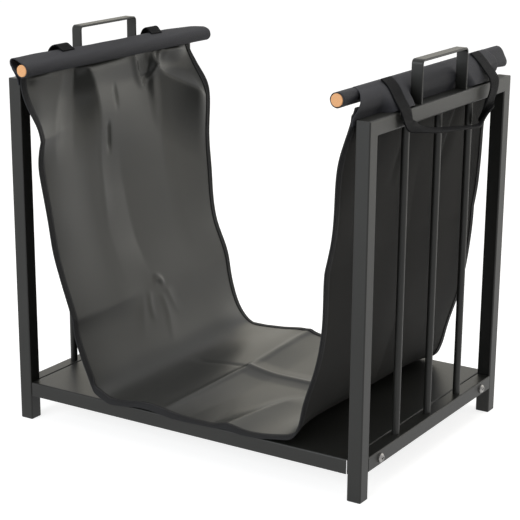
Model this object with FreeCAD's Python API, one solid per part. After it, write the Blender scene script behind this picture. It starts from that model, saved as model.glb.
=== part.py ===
import FreeCAD, Part
import math
import os

# Firewood rack with a lift-out sling bag, in millimetres.
# X runs along the rack, Y from front to back and Z up. The origin is on the floor, under its middle.

# End frames of welded square tube
rack_length = 550.0  # over the outer faces of the two end frames
rack_depth = 400.0  # over the outer faces of the posts
frame_height = 485.0  # floor to the top of the top rails
tube_size = 20.0
tube_wall = 1.5
tube_corner = 2.0  # outside corner radius
rail_clearance = 36.0  # floor to the underside of the bottom rails
bar_diameter = 10.0
bar_names = ("front", "middle", "back")

# Flat-bar lifting handles on the top rails
handle_span = 130.0
handle_rise = 55.0
handle_width = 16.0
handle_bar = 3.0
handle_bend = 3.0  # inside of the bend
handle_edge = 0.8  # chamfer of the bar's edges

# Folded sheet tray
tray_sheet = 1.2
tray_bend = 1.2  # inside of the folds
tray_relief = 1.8  # square notch in each corner of the blank

# Bolts and weld nuts that join the tray to the end frames
bolt_diameter = 5.0
bolt_hole_play = 0.25  # on the radius
bolt_inset = 30.0  # post to bolt axis
bolt_tip = 2.0  # bolt past its nut
head_diameter = 12.0
head_height = 4.0
head_bevel = 2.0
recess_length = 6.0
recess_width = 1.3
recess_depth = 1.8
nut_width = 8.0  # across the flats
nut_height = 4.0

# Plastic plugs under the posts
foot_flange = 2.0
foot_depth = 14.0
foot_wall = 1.8
foot_play = 0.1
foot_edge = 0.8

# Sling panel of coated cloth and its edge binding
panel_overhang = 2.0  # panel past the posts, front and back
panel_cloth = 1.5
binding_width = 9.0
binding_tape = 0.8
cloth_gap = 0.4  # cloth to the steel that it lies against
shoulder_drop = 9.0  # rail top to where the panel turns up past the rail
shoulder_radius = 40.0
neck_radius = 100.0
belly_radius = 250.0

# How the sling lies in the rack: set-backs from each top rail's inner face and drops below its top
left_neck = 36.0
left_neck_drop = 75.0
left_belly = 50.0
left_belly_drop = 228.0
left_foot = 98.0
left_foot_radius = 55.0
right_neck = 17.0
right_neck_drop = 60.0
right_belly = 32.0
right_belly_drop = 250.0
right_foot = 82.0
right_foot_radius = 40.0

# Wooden dowels in their sleeves
dowel_diameter = 16.0
dowel_proud = 1.0  # dowel past each end of its sleeve
left_dowel_height = 14.0  # rail top to dowel axis
right_dowel_height = 24.0
dowel_edge = 0.6
sleeve_overhang = 13.0  # sleeve past each edge of the panel
sleeve_cloth = 1.2
sleeve_play = 0.3
ridge_radius = 5.0  # inside of the sleeve's outer fold
ridge_out = 11.8  # dowel axis to ridge axis, outward
left_ridge_up = 8.0  # dowel axis to ridge axis, upward
right_ridge_up = 2.0
ridge_gap = 1.0  # ridge to lifting handle

# Webbing carry straps
webbing_width = 26.0
webbing_thickness = 2.0
strap_gap = 40.0  # lifting handle to webbing
strap_drop = 45.0  # rail top to the hanging loop
strap_stand_off = 2.0  # webbing to the rail's outer face
strap_seam_gap = 0.4  # webbing to the ridge that it swings about
strap_bend = 5.0  # radius of the webbing's bends

# Places that several pieces share
tube_bore = tube_size - 2 * tube_wall
half_length = rack_length / 2
half_depth = rack_depth / 2
rail_axis_x = half_length - tube_size / 2
rail_inner_x = half_length - tube_size
post_axis_y = half_depth - tube_size / 2
post_inner_y = half_depth - tube_size
bottom_rail_z = rail_clearance + tube_size / 2
tray_top = rail_clearance + tube_size
top_rail_under = frame_height - tube_size
bolt_y = post_inner_y - bolt_inset
bolt_length = tube_size + tray_sheet + nut_height + bolt_tip
ridge_x = rail_axis_x - handle_width / 2 - ridge_gap - sleeve_cloth - ridge_radius
dowel_z = {"left": frame_height + left_dowel_height, "right": frame_height + right_dowel_height}
ridge_z = {"left": dowel_z["left"] + left_ridge_up, "right": dowel_z["right"] + right_ridge_up}
dowel_x = ridge_x - ridge_out
panel_width = rack_depth + 2 * panel_overhang
sleeve_length = panel_width + 2 * sleeve_overhang
dowel_length = sleeve_length + 2 * dowel_proud
strap_y = handle_span / 2 + strap_gap + webbing_width / 2

# How far a rounded corner may eat into the straight runs or the thickness beside it
corner_share = 0.45
# Slack for telling apart the edges of one solid
tiny = 1e-3

x_axis = FreeCAD.Vector(1, 0, 0)
y_axis = FreeCAD.Vector(0, 1, 0)
z_axis = FreeCAD.Vector(0, 0, 1)
middle = FreeCAD.Vector(0, 0, 0)


def save(node, solids):
    """Write one node, made of one solid or of several equal ones."""
    shape = solids[0] if len(solids) == 1 else Part.makeCompound(solids)
    if not shape.isValid() or len(shape.Solids) != len(solids):
        raise ValueError("bad solid in " + node)
    shape.exportStep("parts/" + node + ".step")
    print(node, len(shape.Solids), round(shape.Volume, 1))


def mirrored(shape):
    """The same shape on the left-hand end."""
    return shape.mirror(middle, x_axis)


def on_side(shape, side):
    return shape if side == "right" else mirrored(shape)


def face_of(edges):
    return Part.Face(Part.Wire(edges))


def polygon_face(points):
    return Part.Face(Part.makePolygon(points + points[:1]))


def square_bar(size, corner, length):
    """Square bar that stands on the origin, with rounded long edges."""
    bar = Part.makeBox(size, size, length, FreeCAD.Vector(-size / 2, -size / 2, 0))
    if corner <= 0:
        return bar
    return bar.makeFillet(corner, [edge for edge in bar.Edges if edge.BoundBox.ZLength > length / 2])


def square_tube(start, end):
    """Length of square tube between two points on its axis."""
    length = (end - start).Length
    tube = square_bar(tube_size, tube_corner, length).cut(square_bar(tube_bore, 0, length))
    tube.Placement = FreeCAD.Placement(start, FreeCAD.Rotation(z_axis, end - start))
    return tube.Solids[0]


def mitred(tube, outline):
    """Cut a tube of the end frame to an outline given as Y and Z."""
    points = [FreeCAD.Vector(rail_inner_x, y, z) for y, z in outline]
    return tube.common(polygon_face(points).extrude(FreeCAD.Vector(tube_size, 0, 0))).Solids[0]


def post(front):
    """Upright of the right end frame, mitred into the top rail."""
    sign = -1 if front else 1
    foot = FreeCAD.Vector(rail_axis_x, sign * post_axis_y, foot_flange)
    top = FreeCAD.Vector(rail_axis_x, sign * post_axis_y, frame_height)
    outline = [
        (sign * half_depth, foot_flange),
        (sign * post_inner_y, foot_flange),
        (sign * post_inner_y, top_rail_under),
        (sign * half_depth, frame_height),
    ]
    return mitred(square_tube(foot, top), outline)


def top_rail():
    start = FreeCAD.Vector(rail_axis_x, -half_depth, frame_height - tube_size / 2)
    end = FreeCAD.Vector(rail_axis_x, half_depth, frame_height - tube_size / 2)
    outline = [
        (-half_depth, frame_height),
        (half_depth, frame_height),
        (post_inner_y, top_rail_under),
        (-post_inner_y, top_rail_under),
    ]
    return mitred(square_tube(start, end), outline)


def bolt_hole(y):
    """Clearance hole along X through the right bottom rail and the tray's flange."""
    start = FreeCAD.Vector(half_length - bolt_length, y, bottom_rail_z)
    return Part.makeCylinder(bolt_diameter / 2 + bolt_hole_play, bolt_length, start, x_axis)


def bottom_rail():
    """Rail between the posts, with the two bolt holes."""
    start = FreeCAD.Vector(rail_axis_x, -post_inner_y, bottom_rail_z)
    end = FreeCAD.Vector(rail_axis_x, post_inner_y, bottom_rail_z)
    return square_tube(start, end).cut([bolt_hole(-bolt_y), bolt_hole(bolt_y)]).Solids[0]


def upright_bar(y):
    foot = FreeCAD.Vector(rail_axis_x, y, tray_top)
    return Part.makeCylinder(bar_diameter / 2, top_rail_under - tray_top, foot, z_axis)


def lifting_handle():
    """Flat bar bent to an upside-down U that stands on the top rail."""
    x = rail_axis_x - handle_width / 2
    top = frame_height + handle_rise

    def arch(inset, radius):
        half = handle_span / 2 - inset
        block = Part.makeBox(
            handle_width, 2 * half, handle_rise - inset, FreeCAD.Vector(x, -half, frame_height)
        )
        corners = [
            edge
            for edge in block.Edges
            if edge.BoundBox.XLength > handle_width / 2 and edge.CenterOfMass.z > top - inset - tiny
        ]
        return block.makeFillet(radius, corners)

    bar = arch(0, handle_bend + handle_bar).cut(arch(handle_bar, handle_bend))
    side_faces = [face for face in bar.Faces if face.BoundBox.XLength < tiny]
    rims = [
        edge
        for face in side_faces
        for edge in face.Edges
        if edge.BoundBox.ZMax > frame_height + tiny
    ]
    return bar.makeChamfer(min(handle_edge, corner_share * handle_bar), rims).Solids[0]


def base_tray():
    """Sheet pan with four flanges turned down level with the bottom rails."""

    def pan(inset, radius):
        size_x = 2 * (rail_inner_x - inset)
        size_y = 2 * (half_depth - inset)
        corner = FreeCAD.Vector(-size_x / 2, -size_y / 2, rail_clearance)
        block = Part.makeBox(size_x, size_y, tube_size - inset, corner)
        folds = [edge for edge in block.Edges if edge.BoundBox.ZMin > tray_top - inset - tiny]
        return block.makeFillet(radius, folds)

    sheet = pan(0, tray_bend + tray_sheet).cut(pan(tray_sheet, tray_bend))
    corners = [
        FreeCAD.Vector(sign_x * rail_inner_x, sign_y * half_depth, rail_clearance)
        for sign_x in (-1, 1)
        for sign_y in (-1, 1)
    ]
    overlap = FreeCAD.Vector(tray_relief, tray_relief, 0)
    notches = [
        Part.makeBox(2 * tray_relief, 2 * tray_relief, tube_size, corner - overlap) for corner in corners
    ]
    holes = [bolt_hole(sign * bolt_y) for sign in (-1, 1)]
    holes += [mirrored(hole) for hole in holes]
    return sheet.cut(notches + holes).Solids[0]


def tray_bolt(y):
    """Pan-head bolt with a cross recess, its shank pointing inward through the right bottom rail."""
    seat = FreeCAD.Vector(half_length, y, bottom_rail_z)
    head = Part.makeCylinder(head_diameter / 2, head_height, seat, x_axis)
    rim = [edge for edge in head.Edges if edge.BoundBox.XMin > half_length + head_height - tiny]
    head = head.makeChamfer(head_bevel, rim)
    for size_y, size_z in ((recess_length, recess_width), (recess_width, recess_length)):
        corner = FreeCAD.Vector(
            half_length + head_height - recess_depth, y - size_y / 2, bottom_rail_z - size_z / 2
        )
        head = head.cut(Part.makeBox(recess_depth, size_y, size_z, corner))
    shank = Part.makeCylinder(bolt_diameter / 2, bolt_length, seat, -x_axis)
    return head.fuse(shank).removeSplitter().Solids[0]


def weld_nut(y):
    """Hexagon nut welded behind the tray's flange."""
    start = rail_inner_x - tray_sheet - nut_height
    corner_radius = nut_width / 2 / math.cos(math.pi / 6)
    points = [
        FreeCAD.Vector(
            start,
            y + corner_radius * math.cos(math.radians(60 * corner)),
            bottom_rail_z + corner_radius * math.sin(math.radians(60 * corner)),
        )
        for corner in range(6)
    ]
    block = polygon_face(points).extrude(FreeCAD.Vector(nut_height, 0, 0))
    thread = Part.makeCylinder(bolt_diameter / 2, nut_height, FreeCAD.Vector(start, y, bottom_rail_z), x_axis)
    return block.cut(thread).Solids[0]


def foot_plug(y):
    """Plastic cup pushed into a post, with a flange that the rack stands on."""
    flange = square_bar(tube_size, tube_corner, foot_flange)
    rim = [edge for edge in flange.Edges if edge.BoundBox.ZMax < tiny]
    flange = flange.makeChamfer(min(foot_edge, corner_share * foot_flange), rim)
    stem_size = tube_bore - 2 * foot_play
    stem = square_bar(stem_size, 0, foot_flange + foot_depth)
    hollow = square_bar(stem_size - 2 * foot_wall, 0, foot_depth)
    hollow.translate(FreeCAD.Vector(0, 0, foot_flange))
    plug = flange.fuse(stem).cut(hollow).removeSplitter()
    plug.translate(FreeCAD.Vector(rail_axis_x, y, 0))
    return plug.Solids[0]


def heading(start, end):
    """Direction of a run in the X-Z plane, as an angle from +X towards +Z."""
    return math.atan2(end[1] - start[1], end[0] - start[0])


def turn(first, second):
    """Signed turn from one heading to another, positive to the left."""
    return (second - first + math.pi) % (2 * math.pi) - math.pi


def offset_path(points, distance):
    """The path's points moved to its left by a distance, with mitred corners."""
    headings = [heading(start, end) for start, end in zip(points, points[1:])]
    moved = []
    for (x, z), into, out_of in zip(points, headings[:1] + headings, headings + headings[-1:]):
        half_turn = turn(into, out_of) / 2
        reach = distance / math.cos(half_turn)
        direction = into + half_turn + math.pi / 2
        moved.append((x + reach * math.cos(direction), z + reach * math.sin(direction)))
    return moved


def rounded_path(points, turns, radii):
    """Edges of a path in the X-Z plane, with an arc at each inner point."""
    spots = [FreeCAD.Vector(x, 0, z) for x, z in points]
    start = spots[0]
    edges = []
    for before, corner, after, angle, radius in zip(spots, spots[1:], spots[2:], turns, radii):
        back = (before - corner).normalize()
        ahead = (after - corner).normalize()
        half_turn = abs(angle) / 2
        arc_start = corner + back * (radius * math.tan(half_turn))
        arc_end = corner + ahead * (radius * math.tan(half_turn))
        arc_middle = corner + (back + ahead).normalize() * (radius / math.cos(half_turn) - radius)
        edges.append(Part.LineSegment(start, arc_start).toShape())
        edges.append(Part.Arc(arc_start, arc_middle, arc_end).toShape())
        start = arc_end
    return edges + [Part.LineSegment(start, spots[-1]).toShape()]


def strip_face(points, radii, below, above):
    """Face between two offsets of a path with rounded corners, so that layers of cloth lie on each other."""
    headings = [heading(start, end) for start, end in zip(points, points[1:])]
    turns = [turn(first, second) for first, second in zip(headings, headings[1:])]
    lengths = [math.dist(start, end) for start, end in zip(points, points[1:])]
    limits = [
        corner_share * min(before, after) / math.tan(abs(angle) / 2)
        for before, after, angle in zip(lengths, lengths[1:], turns)
    ]
    sides = []
    for distance in (below, above):
        shifted = [
            min(radius, limit) - math.copysign(distance, angle)
            for radius, limit, angle in zip(radii, limits, turns)
        ]
        sides.append(rounded_path(offset_path(points, distance), turns, shifted))
    first_end, last_end = [
        Part.LineSegment(sides[0][end].Vertexes[end].Point, sides[1][end].Vertexes[end].Point).toShape()
        for end in (0, -1)
    ]
    return face_of(sides[0] + [last_end] + sides[1][::-1] + [first_end])


def sling_path():
    """Middle line of the sling panel from the left ridge, across the tray, to the right ridge."""
    shoulder_x = rail_inner_x - cloth_gap - binding_tape - panel_cloth / 2
    shoulder_z = frame_height - shoulder_drop
    floor_z = tray_top + cloth_gap + binding_tape + panel_cloth / 2
    points = [
        (-ridge_x, ridge_z["left"]),
        (-shoulder_x, shoulder_z),
        (left_neck - rail_inner_x, frame_height - left_neck_drop),
        (left_belly - rail_inner_x, frame_height - left_belly_drop),
        (left_foot - rail_inner_x, floor_z),
        (rail_inner_x - right_foot, floor_z),
        (rail_inner_x - right_belly, frame_height - right_belly_drop),
        (rail_inner_x - right_neck, frame_height - right_neck_drop),
        (shoulder_x, shoulder_z),
        (ridge_x, ridge_z["right"]),
    ]
    wall_radii = [shoulder_radius, neck_radius, belly_radius]
    return points, wall_radii + [left_foot_radius, right_foot_radius] + wall_radii[::-1]


def sling_face(reach):
    """Section of the sling, a given way to both sides of its middle line."""
    points, radii = sling_path()
    return strip_face(points, radii, -reach, reach)


def across(face, low_y, high_y):
    """Solid made by running a face of the X-Z plane between two places along Y."""
    moved = face.copy()
    moved.translate(FreeCAD.Vector(0, low_y, 0))
    return moved.extrude(FreeCAD.Vector(0, high_y - low_y, 0))


def belt_face(side, added):
    """Outline of a belt round one dowel and its ridge, a given way outside the cloth's inner side.

    It is drawn as on the right-hand end.
    """
    big = dowel_diameter / 2 + sleeve_play + added
    small = ridge_radius + added
    rise = ridge_z[side] - dowel_z[side]
    lean = math.atan2(rise, ridge_out)
    spread = math.acos((big - small) / math.hypot(ridge_out, rise))

    def spot(centre_x, centre_z, radius, angle):
        return FreeCAD.Vector(centre_x + radius * math.cos(angle), 0, centre_z + radius * math.sin(angle))

    big_top = spot(dowel_x, dowel_z[side], big, lean + spread)
    big_side = spot(dowel_x, dowel_z[side], big, lean + math.pi)
    big_under = spot(dowel_x, dowel_z[side], big, lean - spread)
    small_under = spot(ridge_x, ridge_z[side], small, lean - spread)
    small_side = spot(ridge_x, ridge_z[side], small, lean)
    small_top = spot(ridge_x, ridge_z[side], small, lean + spread)
    edges = [
        Part.Arc(big_top, big_side, big_under).toShape(),
        Part.LineSegment(big_under, small_under).toShape(),
        Part.Arc(small_under, small_side, small_top).toShape(),
        Part.LineSegment(small_top, big_top).toShape(),
    ]
    return face_of(edges)


def dowel_sleeve(side):
    """Loop of cloth round the dowel, drawn out to a ridge beside the top rail."""
    ring = belt_face(side, sleeve_cloth).cut(belt_face(side, 0)).Faces[0]
    return on_side(across(ring, -sleeve_length / 2, sleeve_length / 2), side)


def sleeve_blocks():
    """The whole room that both sleeves take up."""
    faces = [(side, belt_face(side, sleeve_cloth)) for side in ("left", "right")]
    return [on_side(across(face, -sleeve_length / 2, sleeve_length / 2), side) for side, face in faces]


def bag_panel():
    panel = across(sling_face(panel_cloth / 2), -panel_width / 2, panel_width / 2)
    return panel.cut(sleeve_blocks()).Solids[0]


def edge_binding(sign):
    """Tape folded round the panel's front or back edge, from one sleeve to the other."""
    edge_y = panel_width / 2
    near, far = sorted((sign * (edge_y - binding_width), sign * (edge_y + binding_tape)))
    band = across(sling_face(panel_cloth / 2 + binding_tape), near, far)
    panel = across(sling_face(panel_cloth / 2), -edge_y, edge_y)
    return band.cut([panel] + sleeve_blocks()).Solids[0]


def dowel(side):
    start = FreeCAD.Vector(dowel_x, -dowel_length / 2, dowel_z[side])
    rod = Part.makeCylinder(dowel_diameter / 2, dowel_length, start, y_axis)
    rod = rod.makeChamfer(dowel_edge, [edge for edge in rod.Edges if edge.BoundBox.YLength < tiny])
    return on_side(rod, side)


def carry_strap(side):
    """Webbing from the ridge over the rail to a loop that hangs outside, its lower run lying flat."""
    near_x = half_length + strap_stand_off
    hang_x = near_x + webbing_thickness / 2
    run_z = frame_height - strap_drop
    drop = heading((ridge_x, ridge_z[side]), (hang_x, frame_height + strap_stand_off))
    reach = ridge_radius + sleeve_cloth + strap_seam_gap
    points = [
        (ridge_x + reach * math.cos(drop), ridge_z[side] + reach * math.sin(drop)),
        (hang_x, frame_height + strap_stand_off),
        (hang_x, run_z),
        (near_x + webbing_width, run_z),
    ]
    leg = strip_face(points, [strap_bend, strap_bend], -webbing_thickness / 2, webbing_thickness / 2)
    inner_y = strap_y - webbing_width / 2
    outer_y = strap_y + webbing_width / 2
    corner = FreeCAD.Vector(near_x, -inner_y, run_z - webbing_thickness / 2)
    run = Part.makeBox(webbing_width, 2 * inner_y, webbing_thickness, corner)
    strap = run.fuse([across(leg, -outer_y, -inner_y), across(leg, inner_y, outer_y)])
    return on_side(strap.removeSplitter().Solids[0], side)


os.makedirs("parts", exist_ok=True)

bar_step = 2 * post_inner_y / (len(bar_names) + 1)
for side in ("left", "right"):
    save(side + "_front_post", [on_side(post(True), side)])
    save(side + "_back_post", [on_side(post(False), side)])
    save(side + "_top_rail", [on_side(top_rail(), side)])
    save(side + "_bottom_rail", [on_side(bottom_rail(), side)])
    for number, place in enumerate(bar_names, start=1):
        save(side + "_" + place + "_bar", [on_side(upright_bar(number * bar_step - post_inner_y), side)])
    save(side + "_lifting_handle", [on_side(lifting_handle(), side)])
    save(side + "_dowel_sleeve", [dowel_sleeve(side)])
    save(side + "_dowel", [dowel(side)])
    save(side + "_carry_strap", [carry_strap(side)])

save("base_tray", [base_tray()])
sides_and_signs = [(side, sign) for side in ("left", "right") for sign in (-1, 1)]
save("tray_bolts", [on_side(tray_bolt(sign * bolt_y), side) for side, sign in sides_and_signs])
save("tray_weld_nuts", [on_side(weld_nut(sign * bolt_y), side) for side, sign in sides_and_signs])
save("foot_plugs", [on_side(foot_plug(sign * post_axis_y), side) for side, sign in sides_and_signs])
save("bag_panel", [bag_panel()])
save("front_edge_binding", [edge_binding(-1)])
save("back_edge_binding", [edge_binding(1)])
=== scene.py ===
import bpy
import numpy as np
from mathutils import Matrix


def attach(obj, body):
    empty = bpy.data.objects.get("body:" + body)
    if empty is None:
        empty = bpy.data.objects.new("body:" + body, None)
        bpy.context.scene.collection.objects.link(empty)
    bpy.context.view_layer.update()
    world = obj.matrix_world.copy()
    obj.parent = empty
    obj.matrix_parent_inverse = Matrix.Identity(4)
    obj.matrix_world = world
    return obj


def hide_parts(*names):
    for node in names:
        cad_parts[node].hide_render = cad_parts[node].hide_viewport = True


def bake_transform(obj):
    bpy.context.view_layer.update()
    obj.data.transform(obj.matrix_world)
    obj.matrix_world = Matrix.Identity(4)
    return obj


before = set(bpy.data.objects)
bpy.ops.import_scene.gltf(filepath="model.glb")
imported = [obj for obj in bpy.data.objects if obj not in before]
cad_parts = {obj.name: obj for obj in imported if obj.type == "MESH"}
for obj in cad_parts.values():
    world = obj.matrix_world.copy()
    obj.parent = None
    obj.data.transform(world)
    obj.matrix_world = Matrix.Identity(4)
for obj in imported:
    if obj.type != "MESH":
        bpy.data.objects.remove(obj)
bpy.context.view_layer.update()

# Firewood rack with its sling bag. Shapes are worked out in millimetres and put into the mesh in metres.

mm = 0.001  # one millimetre in metres
scene = bpy.context.scene
scene.view_settings.view_transform = "Standard"
print("frame loaded:", len(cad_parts), "nodes")

cameraSettings = {
    "azimuth": 32.164,
    "elevation": 17.258,
    "roll": 0.398,
    "place": (1.1618, -1.8490, 0.8476),
    "lens": 112.57,
    "shiftUp": 0.0769,
    "clipEnd": 50.0,
}


def makeCamera(settings):
    # back points from the rack to the camera; right and up stand square to it and turn by the roll
    azimuth, elevation, roll = np.radians([settings["azimuth"], settings["elevation"], settings["roll"]])
    flat = np.cos(elevation)
    back = np.array([np.sin(azimuth) * flat, -np.cos(azimuth) * flat, np.sin(elevation)])
    level = np.array([np.cos(azimuth), np.sin(azimuth), 0.0])
    steep = np.cross(back, level)
    right = np.cos(roll) * level + np.sin(roll) * steep
    up = np.cos(roll) * steep - np.sin(roll) * level
    data = bpy.data.cameras.new("photoCamera")
    data.lens = settings["lens"]
    data.shift_y = settings["shiftUp"]
    data.clip_end = settings["clipEnd"]
    camera = bpy.data.objects.new("photoCamera", data)
    scene.collection.objects.link(camera)
    turned = Matrix(np.column_stack((right, up, back)).tolist()).to_4x4()
    camera.matrix_world = Matrix.Translation(settings["place"]) @ turned
    scene.camera = camera


makeCamera(cameraSettings)
print("camera placed")


# Mesh tools


def smoothThrough(knots, values, at):
    # natural cubic spline: the bend at each knot solves a banded system, and each span is the straight
    # line between its knots plus a cubic that takes up the two bends
    knots, values, at = (np.asarray(part, float) for part in (knots, values, at))
    step = np.diff(knots)
    count = len(knots)
    inner = np.arange(1, count - 1)
    system = np.eye(count)
    system[inner, inner - 1] = step[:-1]
    system[inner, inner] = 2 * (step[:-1] + step[1:])
    system[inner, inner + 1] = step[1:]
    pull = np.zeros_like(values)
    pull[1:-1] = 6 * np.diff(np.diff(values, axis=0) / step[:, None], axis=0)
    bend = np.linalg.solve(system, pull)
    span = np.clip(np.searchsorted(knots, at, side="right") - 1, 0, count - 2)
    width = step[span][:, None]
    ahead = (at - knots[span])[:, None] / width
    behind = 1 - ahead
    straight = behind * values[span] + ahead * values[span + 1]
    curl = (behind**3 - behind) * bend[span] + (ahead**3 - ahead) * bend[span + 1]
    return straight + width**2 / 6 * curl


def lengthAlong(points):
    # running sum of the distances between neighbours
    return np.concatenate(([0.0], np.cumsum(np.linalg.norm(np.diff(points, axis=0), axis=1))))


def smoothStep(low, high, value):
    # 0 below low, 1 above high, and 3t^2 - 2t^3 between them
    t = np.clip((value - low) / (high - low), 0, 1)
    return t * t * (3 - 2 * t)


def unit(vectors):
    return vectors / np.maximum(np.linalg.norm(vectors, axis=-1, keepdims=True), 1e-12)


def surfaceNormals(points):
    # cross product of the two grid directions
    return unit(np.cross(np.gradient(points, axis=0), np.gradient(points, axis=1)))


def gridFaces(rows, columns, roundRows=False, roundColumns=False):
    # one quad for each grid square, with the last row or column joined to the first where asked
    index = np.arange(rows * columns).reshape(rows, columns)
    index = np.vstack((index, index[:1])) if roundRows else index
    index = np.hstack((index, index[:, :1])) if roundColumns else index
    corners = (index[:-1, :-1], index[1:, :-1], index[1:, 1:], index[:-1, 1:])
    return np.stack(corners, axis=-1).reshape(-1, 4)


def endCaps(chain, opposite, lastRow):
    # quads between two facing chains of section points, for the first row and, turned over, for the last
    first = np.stack((chain[:-1], chain[1:], opposite[1:], opposite[:-1]), axis=-1)
    return np.concatenate((first, first[:, ::-1] + lastRow))


def outwardQuads(points, quads):
    # a closed shell's volume is a sixth of the sum of its corners' triple products; below zero it is inside out
    corner, second, third, fourth = points.reshape(-1, 3)[quads.T]
    volume = np.sum(corner * (np.cross(second, third) + np.cross(third, fourth))) / 6
    return quads[:, ::-1] if volume < 0 else quads


def makePiece(name, parts, materials):
    # parts are (points in mm, quads, uv in metres, material number or one for each quad), put into one mesh
    points = np.concatenate([part[0].reshape(-1, 3) for part in parts]) * mm
    starts = np.cumsum([0] + [part[0].size // 3 for part in parts[:-1]])
    quads = np.concatenate([outwardQuads(part[0], part[1]) + start for part, start in zip(parts, starts)])
    spots = np.concatenate([part[2].reshape(-1, 2) for part in parts])
    finish = np.concatenate([np.broadcast_to(part[3], len(part[1])) for part in parts])
    mesh = bpy.data.meshes.new(name)
    mesh.vertices.add(len(points))
    mesh.vertices.foreach_set("co", points.ravel())
    mesh.loops.add(quads.size)
    mesh.loops.foreach_set("vertex_index", quads.ravel().astype(np.int32))
    mesh.polygons.add(len(quads))
    mesh.polygons.foreach_set("loop_start", np.arange(0, quads.size, 4, dtype=np.int32))
    mesh.polygons.foreach_set("material_index", finish.astype(np.int32))
    mesh.polygons.foreach_set("use_smooth", np.ones(len(quads), dtype=bool))
    mesh.uv_layers.new(name="UVMap").data.foreach_set("uv", spots[quads.ravel()].ravel())
    mesh.update(calc_edges=True)
    mesh.validate()
    for material in materials:
        mesh.materials.append(material)
    piece = bpy.data.objects.new(name, mesh)
    scene.collection.objects.link(piece)
    print("made", name, len(quads), "quads")
    return piece


def sheetSides(points, thickness, uv, insideFinish, outsideFinish, rimFinish):
    # closed cloth: the surface moved half its thickness to both sides along the normals, joined round the rim
    rows, columns = points.shape[:2]
    offset = surfaceNormals(points) * thickness / 2
    inside = points + offset
    outside = (points - offset)[:, ::-1]
    both = np.concatenate((inside, outside), axis=1)
    bothUv = np.concatenate((uv, uv[:, ::-1]), axis=1)
    quads = gridFaces(rows, 2 * columns, roundColumns=True)
    number = np.tile(np.arange(2 * columns), rows - 1)
    finish = np.where(number < columns - 1, insideFinish, outsideFinish)
    finish = np.where((number == columns - 1) | (number == 2 * columns - 1), rimFinish, finish)
    near = np.arange(columns)
    quads = np.concatenate((quads, endCaps(near, 2 * columns - 1 - near, (rows - 1) * 2 * columns)))
    finish = np.concatenate((finish, np.full(2 * (columns - 1), rimFinish)))
    return both, quads, bothUv, finish


# Materials


def newGroup(name, inputs, output):
    # a node group with a vector input, the given number inputs and one number output
    group = bpy.data.node_groups.new(name, "ShaderNodeTree")
    group.interface.new_socket(name="Vector", in_out="INPUT", socket_type="NodeSocketVector")
    for label, value in inputs.items():
        socket = group.interface.new_socket(name=label, in_out="INPUT", socket_type="NodeSocketFloat")
        socket.default_value = value
    group.interface.new_socket(name=output, in_out="OUTPUT", socket_type="NodeSocketFloat")
    return group, group.nodes.new("NodeGroupInput"), group.nodes.new("NodeGroupOutput")


def mathNode(tree, operation, first, second=None, third=None):
    node = tree.nodes.new("ShaderNodeMath")
    node.operation = operation
    for socket, value in zip(node.inputs, (first, second, third)):
        if isinstance(value, (int, float)):
            socket.default_value = value
        elif value is not None:
            tree.links.new(value, socket)
    return node.outputs[0]


def noiseNode(tree, vector, scale, rough):
    node = tree.nodes.new("ShaderNodeTexNoise")
    node.inputs["Scale"].default_value = scale
    node.inputs["Detail"].default_value = 2.0
    node.inputs["Roughness"].default_value = rough
    tree.links.new(vector, node.inputs["Vector"])
    return node.outputs["Fac"]


def rampNode(tree, factor, stops):
    node = tree.nodes.new("ShaderNodeValToRGB")
    while len(node.color_ramp.elements) < len(stops):
        node.color_ramp.elements.new(0.5)
    for element, (position, colour) in zip(node.color_ramp.elements, stops):
        element.position = position
        element.color = (*colour, 1)
    tree.links.new(factor, node.inputs["Fac"])
    return node.outputs["Color"]


def colourBy(tree, shader, factor, *stops):
    # base colour from a ramp over the factor; each stop is a place on the ramp and a colour
    tree.links.new(rampNode(tree, factor, stops), shader.inputs["Base Color"])


def roughBy(tree, shader, factor, spread, least):
    # roughness: the least value plus the factor times the spread
    tree.links.new(mathNode(tree, "MULTIPLY_ADD", factor, spread, least), shader.inputs["Roughness"])


def makeMottle():
    # soft cloudy change: noise stretched round its middle by the contrast and kept between 0 and 1
    group, given, out = newGroup("softMottle", {"Scale": 12.0, "Contrast": 1.0}, "Mask")
    noise = group.nodes.new("ShaderNodeTexNoise")
    group.links.new(given.outputs["Vector"], noise.inputs["Vector"])
    group.links.new(given.outputs["Scale"], noise.inputs["Scale"])
    noise.inputs["Detail"].default_value = 3.0
    centred = mathNode(group, "SUBTRACT", noise.outputs["Fac"], 0.5)
    stretched = mathNode(group, "MULTIPLY_ADD", centred, given.outputs["Contrast"], 0.5)
    kept = mathNode(group, "MINIMUM", mathNode(group, "MAXIMUM", stretched, 0.0), 1.0)
    group.links.new(kept, out.inputs["Mask"])
    return group


def makeWeave():
    # plain weave: the warp's and the weft's rounded threads, each on top in every other square
    group, given, out = newGroup("plainWeave", {"Threads": 1200.0}, "Height")
    split = group.nodes.new("ShaderNodeSeparateXYZ")
    group.links.new(given.outputs["Vector"], split.inputs[0])
    across, along = (
        mathNode(group, "MULTIPLY", split.outputs[axis], given.outputs["Threads"]) for axis in ("X", "Y")
    )
    warp, weft = (
        mathNode(group, "ABSOLUTE", mathNode(group, "SINE", mathNode(group, "MULTIPLY", thread, np.pi)))
        for thread in (across, along)
    )
    square = mathNode(group, "ADD", mathNode(group, "FLOOR", across), mathNode(group, "FLOOR", along))
    over = mathNode(group, "GREATER_THAN", mathNode(group, "FLOORED_MODULO", square, 2.0), 0.5)
    lifted = mathNode(group, "MULTIPLY", warp, over)
    sunk = mathNode(group, "MULTIPLY", weft, mathNode(group, "SUBTRACT", 1.0, over))
    group.links.new(mathNode(group, "ADD", lifted, sunk), out.inputs["Height"])
    return group


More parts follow.
